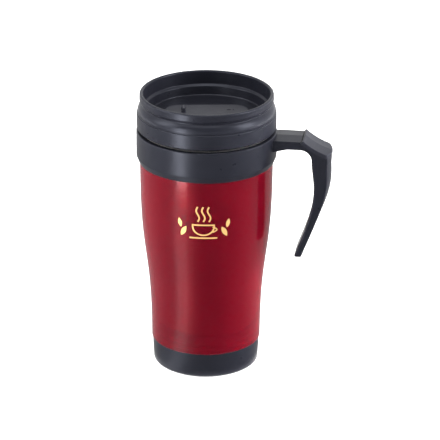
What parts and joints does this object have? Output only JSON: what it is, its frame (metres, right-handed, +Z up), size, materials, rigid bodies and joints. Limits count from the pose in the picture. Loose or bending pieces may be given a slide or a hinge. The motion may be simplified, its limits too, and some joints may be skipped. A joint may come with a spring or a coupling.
{
  "type": "insulated travel mug",
  "caption": "Double-walled travel mug with a hook handle, a tapered tinted body and a push-fit lid with a sliding drink opening.",
  "frame": {"origin": "middle of the flat standing face, on the mug's axis", "axes": "+Z up along the mug's axis, +X from the axis to the handle, +Y across the handle"},
  "size_m": [0.1191, 0.085, 0.1745],
  "materials": {
    "tinted_shell": "translucent deep red, gloss",
    "charcoal": "near-black moulded plastic, satin",
    "liner_steel": "stainless steel, brushed inside, dull outside",
    "soft_black": "soft black silicone",
    "charcoal_soft": "near-black, fine texture"
  },
  "bodies": {
    "cup": {"outer_shell": "tinted_shell", "inner_liner": "liner_steel", "collar_handle": "charcoal", "thumb_rest": "charcoal_soft", "base_cap": "charcoal", "base_seal": "soft_black"},
    "lid": {"lid_body": "charcoal", "lid_gasket": "soft_black"},
    "slider": {"slider": "charcoal", "slider_pad": "soft_black", "slider_clip": "charcoal"}
  },
  "joints": [
    {"name": "lid_lift", "type": "slide", "parent": "cup", "child": "lid", "axis": [0, 0, 1], "range_m": [0, 0.06]},
    {"name": "slider_open", "type": "slide", "parent": "lid", "child": "slider", "axis": [-0.9877, -0.1564, 0], "range_m": [0, 0.009]}
  ]
}
